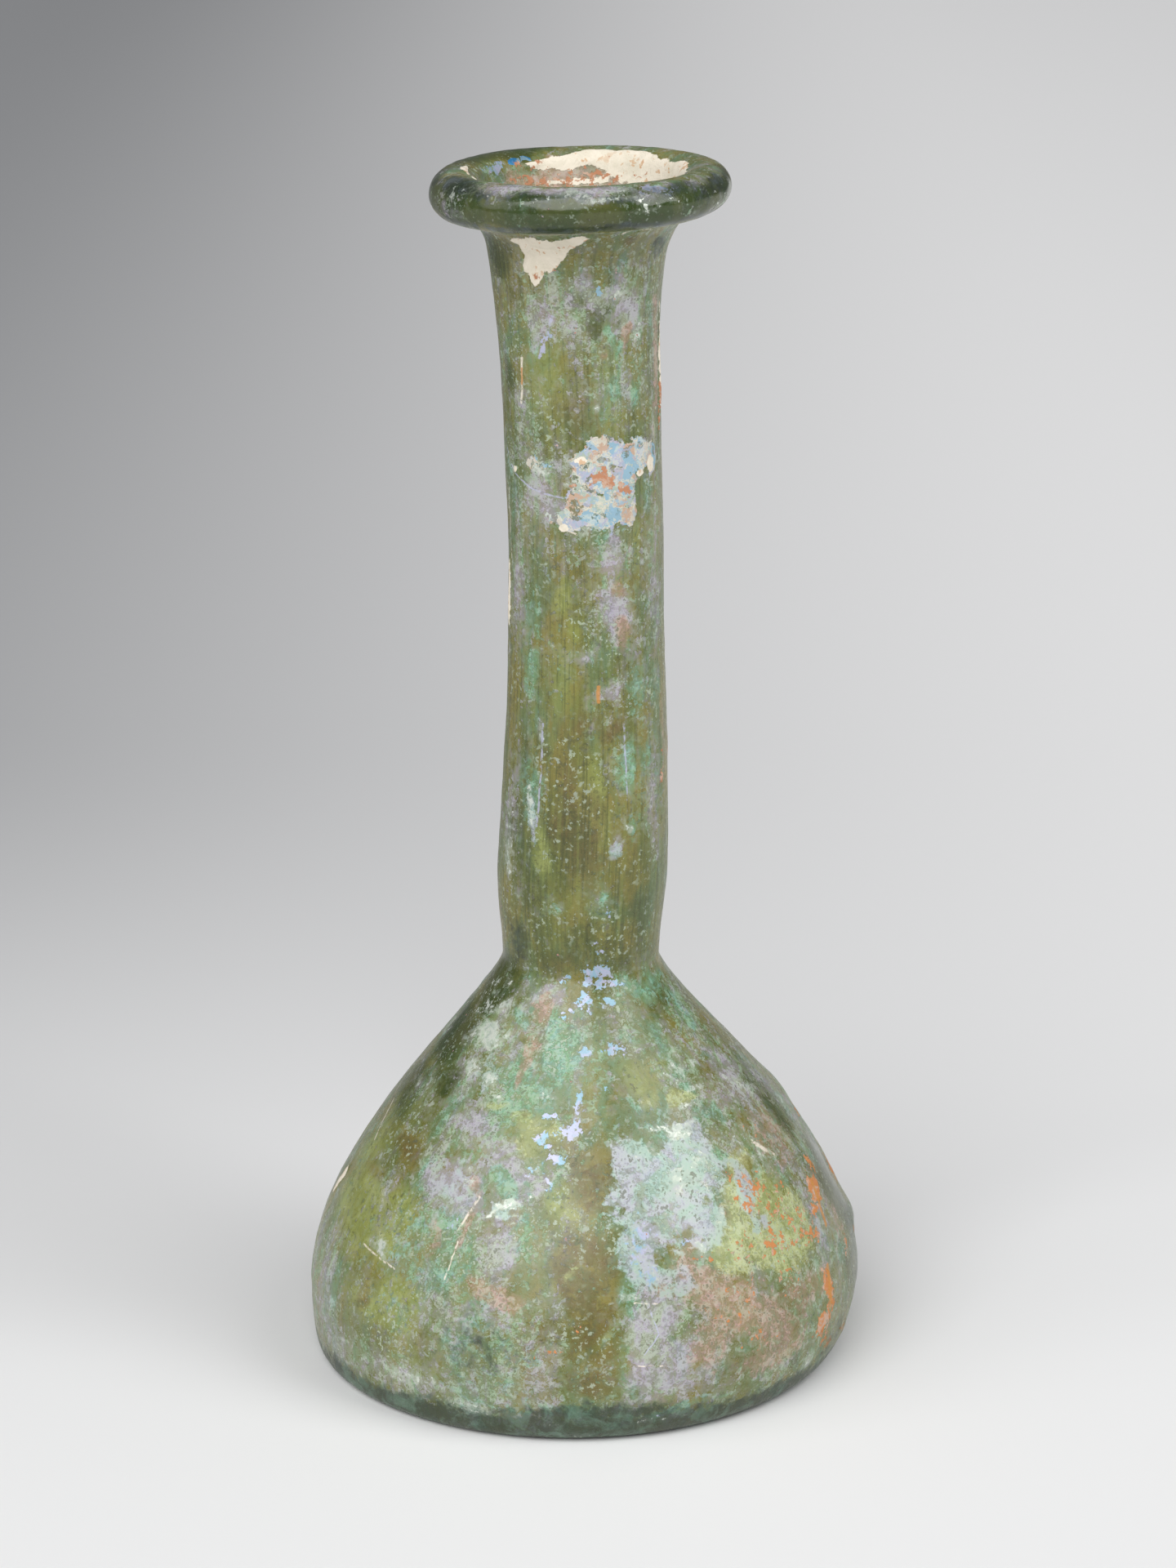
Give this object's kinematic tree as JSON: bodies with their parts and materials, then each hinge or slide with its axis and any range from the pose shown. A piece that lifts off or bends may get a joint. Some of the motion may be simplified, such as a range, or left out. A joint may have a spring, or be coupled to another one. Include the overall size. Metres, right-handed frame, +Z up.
{
  "type": "glass unguentarium",
  "caption": "Small ancient blown-glass perfume flask: low bell-shaped body on a pushed-in base, long neck nipped at its root, and a thick folded lip around an open mouth.",
  "frame": {"origin": "on the ground, at the middle of the body's bounding box", "axes": "+Z up along the neck, +X to the flask's right as seen in the picture, -Y towards the viewer"},
  "size_m": [0.0652, 0.0648, 0.1403],
  "materials": {
    "weathered_glass": "translucent green glass under a satin, iridescent weathering film with dull crusted patches"
  },
  "bodies": {
    "root": {"glass_vessel": "weathered_glass"}
  },
  "joints": []
}
